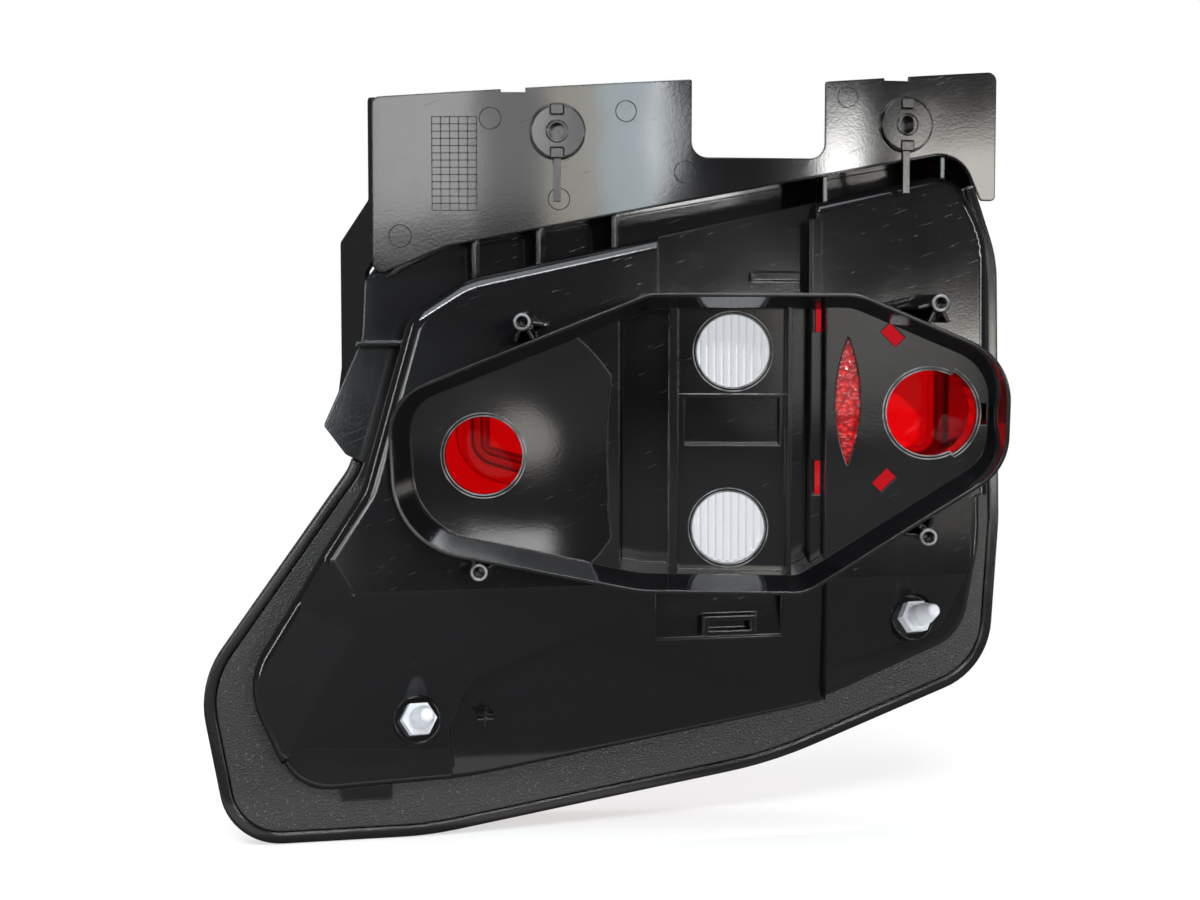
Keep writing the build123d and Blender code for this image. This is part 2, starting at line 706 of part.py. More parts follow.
def back_shell():
    """The hollow back: shell, screw posts, pin bosses and rim flange, open where the well sits."""
    body = shell_form(0)
    for post in screw_posts():
        body += post - collar_foot()
    hollow = shell_form(WALL)
    for side in PIN_SEATS:
        body += pin_block(side, PIN_BOSS_R, 0)
        hollow -= pin_block(side, PIN_BOSS_R + WALL, PIN_SPOT_FACE)
    body -= ahead_of(PART_Y)
    body += prism(gutter_floor()) & slab(0, FLANGE_PLATE)
    body += prism(strip(TAB_X, TAB_Z)) & slab(-TAB_RISE, FLANGE_PLATE)
    return body - hollow - well_zone()


def housing():
    """The back of the black moulding, with the gutter under the trim flange."""
    body = back_shell() + latch_keeper() + pocket_ledge() + cross_pin() + (upright_bar() - well_zone())
    body += gutter_wall() - lens_room()
    body -= flange_plate()
    for rib in gutter_ribs():
        body += rib
    for x, z, _ in POSTS:
        body -= prism(spot((x, z, POST_BORE_R)), POST_TOP_Y - WALL, POST_TOP_Y + POST_BORE_DEPTH)
    for side in PIN_SEATS:
        body -= pin_plane(side) * extrude(Circle(PIN_BOSS_R), amount=PIN_SPOT_FACE)
        bore = Circle(SHANK_R + SHANK_CLEARANCE)
        body -= pin_plane(side) * extrude(bore, amount=-SHANK_LENGTH - SHANK_CLEARANCE)
    return body


def lens_axis():
    """The plane across the upright axis of the lens's front: its x points forward, its z up."""
    x, z = LENS_MIDDLE
    middle = Vector(x, part_depth(x, z), z)
    return Plane(origin=middle + FORWARD * (LENS_RISE - LENS_R), x_dir=FORWARD, z_dir=(0, PART_SLOPE_Z, 1))


def lens_cylinder(inset):
    """All space behind the lens's front face, at a depth inset from it."""
    return lens_axis() * Cylinder(LENS_R - inset, REACH)


def lens_shell():
    """The whole lens: lip, ledge, side wall and front."""
    rim = rounded(RIM_FLANGE)
    ledge_back = FLANGE_PLATE + SEAL
    shell = prism(offset(rim, LENS_LIP)) & lens_cylinder(0) & ahead_of(PART_Y + LENS_BACK)
    shell -= prism(offset(rim, LENS_GAP)) & slab(-WALL, ledge_back)
    shell -= prism(offset(rounded(APRON), LENS_GAP)) & slab(-WALL, FLANGE_PLATE + LENS_GAP)
    shell -= prism(offset(rim, -LENS_LEDGE_REACH)) & slab(-WALL, ledge_back + LENS_LEDGE + WALL)
    hollow = prism(offset(rim, LENS_LIP - LENS_WALL)) & lens_cylinder(LENS_WALL)
    return shell - (hollow & ahead_of(PART_Y + ledge_back + LENS_LEDGE))


def window_prism():
    """The clear section's outline carried through the lens."""
    return prism(rounded(CLEAR_WINDOW))


def clear_lens(shell):
    """The clear middle section, with upright flutes inside."""
    pane = shell & window_prism()
    x = (CLEAR_WINDOW[0][0] + CLEAR_WINDOW[1][0]) / 2
    z = (CLEAR_WINDOW[0][1] + CLEAR_WINDOW[2][1]) / 2
    tall = CLEAR_WINDOW[0][1] - CLEAR_WINDOW[2][1] - 2 * FLUTE_END_GAP
    middle = lens_axis().to_local_coords(Vector(x, part_depth(x, z) + LENS_RISE, z))
    inner_r = LENS_R - LENS_WALL
    for i in range(FLUTE_COUNT):
        turn = middle.Y / middle.X + (i - (FLUTE_COUNT - 1) / 2) * FLUTE_PITCH / inner_r
        foot = Rot(0, 0, math.degrees(turn)) * Pos(inner_r, 0, middle.Z)
        pane += lens_axis() * foot * Cylinder(FLUTE_R, tall)
    return pane


def lens_seal():
    """The bead between the housing's flange and the ledge of the lens."""
    rim = rounded(RIM_FLANGE)
    ring = offset(rim, -SEAL_INSET[0]) - offset(rim, -SEAL_INSET[1])
    return prism(ring) & slab(FLANGE_PLATE, FLANGE_PLATE + SEAL)


def reflector(hole, floor, form):
    """A bright bowl that stands on the collar of a bulb opening. form is (neck, depth, front radius)."""
    x, z, r = hole
    neck, depth, front_r = form
    back_r = (FOG_STEP_R if hole == FOG_HOLE else r) + BOWL_NECK_GAP
    mid_r = back_r + BOWL_BULGE[1] * (front_r - back_r)
    rings = [(back_r, 0), (back_r, neck), (mid_r, neck + BOWL_BULGE[0] * (depth - neck)), (front_r, depth)]
    outside, inside = faceted_bowl(rings, BOWL_WALL), faceted_bowl(rings, 0)
    seat = Plane(origin=(x, floor + WALL + HOLE_COLLAR, z), x_dir=(1, 0, 0), z_dir=(0, 1, 0))
    return seat * (outside - inside)


def faceted_bowl(rings, grow):
    """A solid with flat sides through rings (radius, height), each grown by this much."""
    bowl = None
    for (low_r, low), (high_r, high) in zip(rings, rings[1:]):
        ring = Pos(0, 0, low) * RegularPolygon(low_r + grow, BOWL_FACETS, major_radius=False)
        flare = math.degrees(math.atan2(low_r - high_r, high - low))
        stage = extrude(ring, amount=high - low, taper=flare)
        bowl = stage if bowl is None else bowl + stage
    return bowl


def inner_optic(hole, floor, form):
    """A stepped red disc on the front rim of a bowl: nested rounded squares, each a step deeper."""
    x, z, _ = hole
    _, depth, front_r = form
    outer_r = front_r + BOWL_WALL
    y = floor + WALL + HOLE_COLLAR + depth
    disc = prism(spot((x, z, outer_r)), y, y + OPTIC_THICK + OPTIC_STEPS * OPTIC_STEP)
    for i in range(OPTIC_STEPS):
        side = 2 * (outer_r - (i + 1) * OPTIC_STEP_WIDTH)
        square = Pos(x, z) * RectangleRounded(side, side, OPTIC_STEP_WIDTH / 2)
        disc -= prism(square, y + i * OPTIC_STEP, y + (i + 1) * OPTIC_STEP)
    return disc


def reflex_reflector():
    """The red insert behind the pointed slot."""
    back = FUNNEL_END_Y + WALL
    return prism(reflex_outline(REFLEX_LAND), back, back + REFLEX_THICK)


def locating_pin(side):
    """A white pin: hexagon, shoulder, taper with a rounded tip, and a shank in the housing."""
    hexagon = extrude(RegularPolygon(HEX_FLATS / 2, 6, major_radius=False), amount=HEX_HEIGHT)
    top = HEX_HEIGHT + PIN_STRAIGHT + PIN_TAPER
    profile = Polyline(
        (0, HEX_HEIGHT),
        (PIN_SHOULDER_R, HEX_HEIGHT),
        (PIN_SHOULDER_R, HEX_HEIGHT + PIN_STRAIGHT),
        (PIN_TIP_R, top - PIN_TIP_ROUND),
        (PIN_TIP_R - PIN_TIP_ROUND, top),
        (0, top),
        close=True,
    )
    spike = revolve(Plane.XZ * make_face(profile), Axis.Z)
    shank = extrude(Circle(SHANK_R), amount=-SHANK_LENGTH)
    return pin_plane(side) * (hexagon + spike + shank)


os.makedirs("parts", exist_ok=True)
lens = lens_shell()
pieces = {
    "housing": housing(),
    "bulb_well": bulb_well(),
    "tail_bay": bulb_bay((-REACH / 2, LEFT_TRENCH[0])),
    "centre_bay": bulb_bay((LEFT_TRENCH[0], SLIT_STRIP[1])),
    "fog_bay": bulb_bay((SLIT_STRIP[1], REACH / 2)),
    "trim_flange": trim_flange(),
    "outer_lens": lens - window_prism(),
    "clear_lens": clear_lens(lens),
    "lens_seal": lens_seal(),
    "tail_reflector": reflector(TAIL_HOLE, TAIL_FLOOR_Y, TAIL_BOWL),
    "turn_reflector": reflector(TURN_HOLE, CENTRE_FLOOR_Y, CENTRE_BOWL),
    "reverse_reflector": reflector(REVERSE_HOLE, CENTRE_FLOOR_Y, CENTRE_BOWL),
    "fog_reflector": reflector(FOG_HOLE, FUNNEL_END_Y, FOG_BOWL),
    "tail_inner_optic": inner_optic(TAIL_HOLE, TAIL_FLOOR_Y, TAIL_BOWL),
    "fog_inner_optic": inner_optic(FOG_HOLE, FUNNEL_END_Y, FOG_BOWL),
    "reflex_reflector": reflex_reflector(),
    "locating_pin_left": locating_pin("left"),
    "locating_pin_right": locating_pin("right"),
    "screw_cap_round": screw_cap(BOSS_PLANES["round"], STRAP_DROP),
    "screw_cap_slot": screw_cap(BOSS_PLANES["slot"], STRAP_DROP),
}
for name, shape in pieces.items():
    export_step(shape, f"parts/{name}.step")
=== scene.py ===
import math

import bmesh
import bpy
from bpy.props import FloatProperty, FloatVectorProperty, PointerProperty
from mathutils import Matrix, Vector


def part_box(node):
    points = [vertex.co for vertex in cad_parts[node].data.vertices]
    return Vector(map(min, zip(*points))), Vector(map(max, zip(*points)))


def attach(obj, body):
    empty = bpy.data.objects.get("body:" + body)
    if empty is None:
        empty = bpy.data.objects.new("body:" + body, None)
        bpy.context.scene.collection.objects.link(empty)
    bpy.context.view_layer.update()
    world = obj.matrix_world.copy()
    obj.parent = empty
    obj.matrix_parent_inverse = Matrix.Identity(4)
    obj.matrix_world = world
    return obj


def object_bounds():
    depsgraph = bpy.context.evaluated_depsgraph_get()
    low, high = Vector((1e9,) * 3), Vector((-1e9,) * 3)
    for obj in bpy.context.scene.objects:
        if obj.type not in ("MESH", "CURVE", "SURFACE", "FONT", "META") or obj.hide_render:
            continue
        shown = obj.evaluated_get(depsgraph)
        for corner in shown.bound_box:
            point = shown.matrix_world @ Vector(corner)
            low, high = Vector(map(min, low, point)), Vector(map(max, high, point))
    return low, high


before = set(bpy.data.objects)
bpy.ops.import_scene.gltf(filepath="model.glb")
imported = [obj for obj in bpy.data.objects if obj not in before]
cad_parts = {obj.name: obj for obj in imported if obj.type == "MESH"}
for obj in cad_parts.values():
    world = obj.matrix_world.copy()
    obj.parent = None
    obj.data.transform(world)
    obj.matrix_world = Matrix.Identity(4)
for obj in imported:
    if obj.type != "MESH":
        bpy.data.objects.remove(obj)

bl_info = {
    "name": "Tail Light Cluster",
    "version": (1, 0, 0),
    "blender": (4, 5, 0),
    "location": "View3D > Sidebar > Tail Light",
    "description": "Finishes, moulding marks and studio for a tail light cluster seen from the back",
    "category": "Object",
}

CAD_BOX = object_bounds()
# The parting plane between housing and lens: depth at the origin, and slopes along X and Z
PARTING = (0.030, 0.25, 0.08)
MOULDING = ["housing", "trim_flange", "bulb_well", "tail_bay", "centre_bay", "fog_bay"]
# The back face of the flange is a cylinder about an upright axis (x, y)
FLANGE_AXIS = (-0.06, 0.9005)
FLANGE_R = 0.9
# Rings that ejector pins leave in the flange: x, z and radius
EJECTOR_MARKS = [
    (-0.0299, 0.0059, 0.0048),
    (-0.0705, -0.0463, 0.0050),
    (0.0306, 0.0092, 0.0046),
    (0.0570, -0.0176, 0.0048),
    (0.1307, 0.0168, 0.0046),
    (0.0007, -0.0299, 0.0048),
]
# A plain raised grid on the flange: lowest x and z, pitch along x and z, columns and rows
FLANGE_GRID = (-0.0560, -0.0350, 0.0040, 0.0032, 5, 13)
# The two screw bosses: middle of the face, and the slope of the face along X
BOSSES = [((0.0, 0.0, 0.0), 0.067), ((0.1583, 0.0248, 0.0048), 0.25)]
BOSS_RINGS = (0.0116, 0.0048)
# Painted light and shade on the nested steps of the red discs: the corner they share (x, z), the side
# that they open to (-1 left, 1 right), the fall of their lower legs, and the painted brightness at
# distances from the corner
TAIL_STEP_LIGHT = (-0.0327, -0.1421, 1.0, 0.28, [
    (0.0, 1.0), (0.0008, 0.25), (0.0030, 0.50), (0.0042, 0.12), (0.0052, 0.60), (0.0075, 0.50),
    (0.0085, 0.04), (0.0098, 0.75), (0.0150, 0.80), (0.0158, 0.45), (0.0165, 1.0), (0.0200, 1.0),
])
FOG_STEP_LIGHT = (0.1700, -0.1400, -1.0, 0.1, [
    (0.0, 0.85), (0.0030, 0.95), (0.0040, 0.75), (0.0060, 0.85), (0.0075, 0.12), (0.0095, 0.25),
    (0.0115, 0.12), (0.0130, 0.02), (0.0145, 0.42), (0.0200, 0.45),
])
STEP_LIGHT_REACH = 0.02
# Bulb openings: centre x and z, depth y of the floor round them, and radius
OPENINGS = [
    (-0.0317, -0.1435, -0.0180, 0.0172),
    (0.0783, -0.0976, -0.0100, 0.0160),
    (0.0764, -0.1760, -0.0100, 0.0160),
    (0.1628, -0.1240, -0.0250, 0.0184),
]
# The last opening is wider on its right side, up to this angle from level
STEP_ANGLE = math.radians(62.0)
STEP_WIDTH = 0.002
# Screw posts round the well: x and z, the depth of their tops, and the radius of the ring on them
POSTS = [(-0.0125, -0.0846), (0.1645, -0.0766), (-0.0313, -0.1920), (0.1605, -0.1760)]
POST_TOP = -0.044
POST_RING = 0.0031
# Beads along the edges of the middle floor: depth, and the ends of each bead (x, z)
MIDDLE_FLOOR = -0.0100
MIDDLE_EDGES = [
    ((0.0501, -0.0810), (0.0501, -0.1930)),
    ((0.1033, -0.0810), (0.1033, -0.1165)),
    ((0.0501, -0.1165), (0.1033, -0.1165)),
]
LIP_POINTS = 144
RING_POINTS = 48
BEAD_ROUNDNESS = 3
FLUTE_PITCH = 0.0037
# The stippled band: depths past the parting plane over which it fades in, and how far below the origin
# it starts
BAND_DEPTH = (-0.0016, -0.0008)
BAND_DROP = (0.155, 0.165)
# Depths past the parting plane over which the dark edge of the lens, a painted shade, turns red
LENS_SHADE_DEPTH = (0.009, 0.012)
# Between these heights the clear section gets darker upwards, to this share of its colour
DARKENING_HEIGHT = (-0.17, -0.10)
TOP_SHARE = 0.84

# Scale of the patterns in the finishes, per metre
SMUDGES = 28.0
SINK_MARKS = 22.0
GRAIN = 900.0
DUST = 2600.0
STIPPLE = 1300.0
FLECKS = 900.0
LENS_RIPPLE = 60.0
LENS_SCUFF = 45.0
FLUTE_UNEVEN = 140.0
BOWL_HAZE = 40.0
REFLEX_CELLS = 420.0
SEAL_GRAIN = 500.0
HIGHLIGHT_BREAKS = 130.0
NYLON_MOTTLE = 180.0
CAP_GRAIN = 700.0
FLOOR_SPECKS = 300.0
# Scratches: scale along them by x and z, across them by z and x, and in depth
HAIRLINE_ALONG = (55.0, 35.0)
HAIRLINE_ACROSS = (3000.0, 1200.0)
HAIRLINE_DEPTH = 120.0

# Noise levels between which a pattern starts and is full
HAIRLINE_CUT = (0.7, 0.8)
DUST_CUT = (0.7, 0.8)
FLECK_CUT = (0.62, 0.7)
FLUTE_SHADE_CUT = (0.3, 0.5)
REFLEX_CUT = (0.2, 0.75)
HIGHLIGHT_CUT = (0.3, 0.65)
MOTTLE_CUT = (0.35, 0.7)

# Roughness: the least, and what the pattern adds
EDGE_GLOSS = (0.08, 0.14)
BOWL_GLOSS = (0.06, 0.08)
SEAL_GLOSS = (0.6, 0.2)
HIGHLIGHT_GLOSS = (0.1, 0.2)
NYLON_GLOSS = (0.38, 0.12)
CAP_GLOSS = (0.12, 0.1)
# Roughness of the smooth faces
LENS_GLOSS = 0.04
CLEAR_GLOSS = 0.05
OPTIC_GLOSS = 0.03
REFLEX_GLOSS = 0.12

# Relief: strength and height in metres
PLASTIC_RELIEF = (0.35, 0.00025)
LENS_RELIEF = (0.05, 0.0005)
REFLEX_RELIEF = (0.9, 0.001)
NYLON_RELIEF = (0.1, 0.0004)
CAP_RELIEF = (0.1, 0.0003)
# Radius that light finds on the edges of pins and caps
NYLON_EDGE = 0.0005
CAP_EDGE = 0.0004
EDGE_SAMPLES = 6

# How much each mark changes the colour, roughness and relief of the black plastic
SCRATCH_COLOUR = 0.5
DUST_COLOUR = 0.5
FLECK_COLOUR = 0.8
SMUDGE_GLOSS = 0.08
WEAR_GLOSS = 0.2
GRAIN_RELIEF = 0.12
SCRATCH_RELIEF = 0.1
STIPPLE_RELIEF = 1.4

# Painted shade along the flute lines: the least, and what the uneven pattern adds
FLUTE_SHADE = (0.35, 0.6)
# Share of the colour that is left in the dark parts of a finish
REFLEX_SHADE = 0.45
HIGHLIGHT_LOW_SHARE = 0.3
NYLON_SHADE = 0.88

PLASTIC_IOR = 1.5
LENS_IOR = 1.49
OPTIC_IOR = 1.1
LENS_CLARITY = 0.93
REFLEX_COAT = 0.4
SEAL_COLOUR = (0.02, 0.02, 0.02, 1.0)
CAP_COLOUR = (0.008, 0.008, 0.009, 1.0)
BLACK = (0.0, 0.0, 0.0, 1.0)
WHITE = (1.0, 1.0, 1.0, 1.0)


class Wire:
    """A socket in a node tree that can stand in Python expressions."""

    def __init__(self, finish, socket):
        self.finish = finish
        self.socket = socket

    def math(self, operation, *values):
        return self.finish.node("ShaderNodeMath", {"operation": operation}, dict(enumerate(values)))

    def __add__(self, other):
        return self.math("ADD", self, other)

    def __radd__(self, other):
        return self.math("ADD", other, self)

    def __sub__(self, other):
        return self.math("SUBTRACT", self, other)

    def __rsub__(self, other):
        return self.math("SUBTRACT", other, self)

    def __mul__(self, other):
        return self.math("MULTIPLY", self, other)

    def __rmul__(self, other):
        return self.math("MULTIPLY", other, self)

    def __truediv__(self, other):
        return self.math("DIVIDE", self, other)

    def __pow__(self, other):
        return self.math("POWER", self, other)

    def __abs__(self):
        return self.math("ABSOLUTE", self)

    def lower(self, other):
        return self.math("MINIMUM", self, other)

    def higher(self, other):
        return self.math("MAXIMUM", self, other)

    def fraction(self):
        return self.math("FRACT", self)

    def ramp(self, low, high):
        """0 at low, 1 at high, with soft ends."""
        settings = {"interpolation_type": "SMOOTHSTEP"}
        inputs = {"Value": self, "From Min": low, "From Max": high}
        return self.finish.node("ShaderNodeMapRange", settings, inputs)

    def mix(self, colour_0, colour_1):
        """A colour between two colours, by this value."""
        settings = {"data_type": "RGBA"}
        inputs = {"Factor": self, 6: colour_0, 7: colour_1}
        return self.finish.node("ShaderNodeMix", settings, inputs, 2)


class Finish:
    """The node tree of a material or of the world."""

    def __init__(self, owner):
        owner.use_nodes = True
        self.owner = owner
        self.tree = owner.node_tree
        self.tree.nodes.clear()

    def node(self, kind, settings, inputs, output=0):
        """A node of this kind with its settings made and its sockets filled. Gives one of its outputs."""
        made = self.tree.nodes.new(kind)
        for name, value in settings.items():
            if name == "stops":
                set_stops(made.color_ramp, value)
            else:
                setattr(made, name, value)
        for key, value in inputs.items():
            socket = made.inputs[key]
            if isinstance(value, Wire):
                self.tree.links.new(value.socket, socket)
            else:
                socket.default_value = value
        return Wire(self, made.outputs[output])

    def place(self):
        """The place on the piece, in metres."""
        return self.node("ShaderNodeTexCoord", {}, {}, "Object")

    def axes(self, where):
        """X, Y and Z of a place."""
        split = self.node("ShaderNodeSeparateXYZ", {}, {0: where})
        return [Wire(self, output) for output in split.socket.node.outputs]

    def noise(self, where, scale, detail=2.0):
        return self.node("ShaderNodeTexNoise", {}, {"Vector": where, "Scale": scale, "Detail": detail})

    def cells(self, where, scale):
        return self.node("ShaderNodeTexVoronoi", {"feature": "F1"}, {"Vector": where, "Scale": scale})

    def bump(self, height, strength, distance, normal=None):
        inputs = {"Height": height, "Strength": strength, "Distance": distance}
        if normal is not None:
            inputs["Normal"] = normal
        return self.node("ShaderNodeBump", {}, inputs)

    def steps(self, x, z, corner):
        """Painted light and shade of nested round-cornered steps, by the distance from the corner that
        they share.
        """
        at_x, at_z, side, fall, levels = corner
        across = (x - at_x) * -side
        below = (z - at_z + across * -fall) * -1.0
        corner_off = (across.higher(0.0) ** 2.0 + below.higher(0.0) ** 2.0) ** 0.5
        stops = [(place / STEP_LIGHT_REACH, (level, level, level, 1.0)) for place, level in levels]
        return self.node("ShaderNodeValToRGB", {"stops": stops}, {0: corner_off / STEP_LIGHT_REACH})

    def hairlines(self, x, y, z):
        """Fine scratches that mostly run one way."""
        along = x * HAIRLINE_ALONG[0] + z * HAIRLINE_ALONG[1]
        across = z * HAIRLINE_ACROSS[0] - x * HAIRLINE_ACROSS[1]
        where = self.node("ShaderNodeCombineXYZ", {}, {"X": along, "Y": across, "Z": y * HAIRLINE_DEPTH})
        return self.noise(where, 1.0).ramp(*HAIRLINE_CUT)

    def soft_edges(self, radius):
        """Normals that turn round the edges of a moulding."""
        return self.node("ShaderNodeBevel", {"samples": EDGE_SAMPLES}, {"Radius": radius})

    def surface(self, inputs):
        return self.node("ShaderNodeBsdfPrincipled", {}, inputs)

    def end(self, kind, surface):
        """Ends the tree in a surface."""
        made = self.tree.nodes.new(kind)
        self.tree.links.new(surface.socket, made.inputs["Surface"])

    def paint(self, inputs):
        """Ends a material in one surface with these inputs."""
        self.end("ShaderNodeOutputMaterial", self.surface(inputs))


def set_stops(ramp, stops):
    """Fills a colour ramp with (position, colour) stops."""
    while len(ramp.elements) > 1:
        ramp.elements.remove(ramp.elements[-1])
    for i, (position, colour) in enumerate(stops):
        element = ramp.elements[0] if i == 0 else ramp.elements.new(position)
        element.position = position
        element.color = colour


def new_finish(name):
    return Finish(bpy.data.materials.new(name))


def dress(nodes, finish):
    """Gives CAD pieces a finish."""
    for name in nodes:
        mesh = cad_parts[name].data
        mesh.materials.clear()
        mesh.materials.append(finish.owner)


def rgba(colour, share=1.0):
    """A colour, or a darker share of it, as a socket takes it."""
    return (colour[0] * share, colour[1] * share, colour[2] * share, 1.0)


def uneven(levels, pattern):
    """A level over a pattern: the least, and what the pattern adds."""
    least, more = levels
    return least + pattern * more


def parting_depth(x, z):
    """Depth of the parting plane, from numbers or from sockets."""
    return PARTING[0] + x * PARTING[1] + z * PARTING[2]


class HousingProps(bpy.types.PropertyGroup):
    """Settings of the black moulding"""

    colour: FloatVectorProperty(
        name="Black plastic",
        description="Colour of the housing",
        subtype="COLOR",
        default=(0.004, 0.004, 0.0045),
    )
    band_colour: FloatVectorProperty(
        name="Stippled band",
        description="Colour of the stippled rim",
        subtype="COLOR",
        default=(0.006, 0.006, 0.0065),
    )
    gloss: FloatProperty(
        name="Roughness",
        description="Roughness of the polished faces",
        default=0.1,
        min=0.0,
        max=1.0,
        subtype="FACTOR",
    )
    band_roughness: FloatProperty(
        name="Band roughness",
        description="Roughness of the stippled rim",
        default=0.36,
        min=0.0,
        max=1.0,
        subtype="FACTOR",
    )
    edge: FloatProperty(
        name="Edge radius",
        description="Radius that light finds on the moulded edges",
        default=0.001,
        unit="LENGTH",
    )
    wave: FloatProperty(
        name="Waviness",
        description="Sink marks that bend reflections",
        default=3.0,
        min=0.0,
    )
    wear: FloatProperty(
        name="Wear",
        description="Strength of dust and scratches",
        default=0.5,
        min=0.0,
        max=1.0,
        subtype="FACTOR",
    )
    wear_colour: FloatVectorProperty(
        name="Dust",
        description="Colour of dust and scratches",
        subtype="COLOR",
        default=(0.06, 0.058, 0.055),
    )


class LensProps(bpy.types.PropertyGroup):
    """Settings of the lenses and the red discs"""

    red: FloatVectorProperty(
        name="Red lens",
        description="Colour of the red lens",
        subtype="COLOR",
        default=(0.62, 0.012, 0.02),
    )
    # The lit colour of the red discs; their painted shade runs from it down to black
    optic: FloatVectorProperty(
        name="Red optic",
        description="Colour of the stepped red discs",
        subtype="COLOR",
        default=(0.95, 0.06, 0.08),
    )
    clear: FloatVectorProperty(
        name="Clear lens",
        description="Colour of the clear section",
        subtype="COLOR",
        default=(0.78, 0.81, 0.85),
    )
    # Painted shade: the darker lines between the flutes stand in for how the flutes bend the light
    painted_flute_shade: FloatVectorProperty(
        name="Flute lines",
        description="Colour between the flutes",
        subtype="COLOR",
        default=(0.3, 0.32, 0.34),
    )
    # Painted shade on the lip of the lens
    edge: FloatVectorProperty(
        name="Lens edge",
        description="Colour of the dark edge of the lens",
        subtype="COLOR",
        default=(0.004, 0.003, 0.003),
    )
    edge_round: FloatProperty(
        name="Edge rounding",
        description="Radius that light finds on the lens edge",
        default=0.0025,
        unit="LENGTH",
    )


class TrimProps(bpy.types.PropertyGroup):
    """Settings of the pins, inner pieces, lips and marks"""

    nylon: FloatVectorProperty(
        name="Nylon",
        description="Colour of the locating pins",
        subtype="COLOR",
        default=(0.55, 0.57, 0.605),
    )
    mirror: FloatVectorProperty(
        name="Bright bowls",
        description="Colour of the metallised bowls",
        subtype="COLOR",
        default=(0.82, 0.82, 0.83),
    )
    reflex: FloatVectorProperty(
        name="Reflex insert",
        description="Colour of the reflex insert",
        subtype="COLOR",
        default=(0.45, 0.004, 0.006),
    )
    # Painted highlight: the grey of the lips, floor beads and post rings stands in for light catching
    # their edges
    painted_highlight: FloatVectorProperty(
        name="Rubbed edges",
        description="Colour of edges that are rubbed bright",
        subtype="COLOR",
        default=(0.17, 0.17, 0.175),
    )
    lip: FloatProperty(
        name="Lip bead",
        description="Radius of the beads",
        default=0.00035,
        min=0.0,
        unit="LENGTH",
    )
    lip_width: FloatProperty(
        name="Lip width",
        description="Space between the beads of a lip",
        default=0.0013,
        min=0.0,
        unit="LENGTH",
    )
    mark: FloatProperty(
        name="Flange marks",
        description="Radius of the marks on the flange",
        default=0.00022,
        min=0.0,
        unit="LENGTH",
    )
    post_ring: FloatProperty(
        name="Post rings",
        description="Radius of the beads on the posts",
        default=0.0006,
        min=0.0,
        unit="LENGTH",
    )
    boss_ring: FloatProperty(
        name="Boss rings",
        description="Radius of the beads on the bosses",
        default=0.0004,
        min=0.0,
        unit="LENGTH",
    )


class StudioProps(bpy.types.PropertyGroup):
    """Settings of the floor and the light"""

    floor_colour: FloatVectorProperty(
        name="Floor",
        description="Colour of the floor",
        subtype="COLOR",
        default=(0.9, 0.9, 0.9),
    )
    room: FloatProperty(
        name="Room light",
        description="Strength of the even light",
        default=0.3,
        min=0.0,
    )
    gloom: FloatProperty(
        name="Dark side",
        description="What polished faces see of the room",
        default=0.1,
        min=0.0,
    )
    panels: FloatProperty(
        name="Panels",
        description="Level of the soft panels",
        default=1.0,
        min=0.0,
    )
    kicker: FloatProperty(
        name="Kicker",
        description="Radiance of the strip on the floor",
        default=0.85,
        min=0.0,
    )


class TAILLIGHT_OT_housing(bpy.types.Operator):
    """Black moulding with polished faces and a stippled rim"""

    bl_idname = "taillight.housing"
    bl_label = "Housing finish"

    def execute(self, context):
        props = context.scene.taillight_housing
        finish = new_finish("black_moulding")
        where = finish.place()
        x, y, z = finish.axes(where)
        depth = y - parting_depth(x, z)
        band = depth.ramp(*BAND_DEPTH) * (z * -1.0).ramp(*BAND_DROP)
        smudge = finish.noise(where, SMUDGES, detail=4.0)
        wave = finish.noise(where, SINK_MARKS, detail=1.0)
        grain = finish.noise(where, GRAIN, detail=3.0)
        dust = finish.noise(where, DUST, detail=1.0).ramp(*DUST_CUT)
        scratch = finish.hairlines(x, y, z)
        stipple = finish.cells(where, STIPPLE)
        fleck = finish.noise(where, FLECKS).ramp(*FLECK_CUT) * band
        wear = (scratch * SCRATCH_COLOUR + dust * DUST_COLOUR) * (1 - band)
        colour = band.mix(rgba(props.colour), rgba(props.band_colour))
        colour = (wear * props.wear + fleck * FLECK_COLOUR).mix(colour, rgba(props.wear_colour))
        polish = props.gloss - SMUDGE_GLOSS / 2 + smudge * SMUDGE_GLOSS + wear * WEAR_GLOSS
        roughness = polish * (1 - band) + band * props.band_roughness
        polished = grain * GRAIN_RELIEF - scratch * SCRATCH_RELIEF + wave * props.wave
        height = polished * (1 - band) + stipple * band * STIPPLE_RELIEF
        normal = finish.bump(height, *PLASTIC_RELIEF, finish.soft_edges(props.edge))
        inputs = {"Base Color": colour, "Roughness": roughness, "Normal": normal, "IOR": PLASTIC_IOR}
        finish.paint(inputs)
        dress(MOULDING, finish)
        return {"FINISHED"}


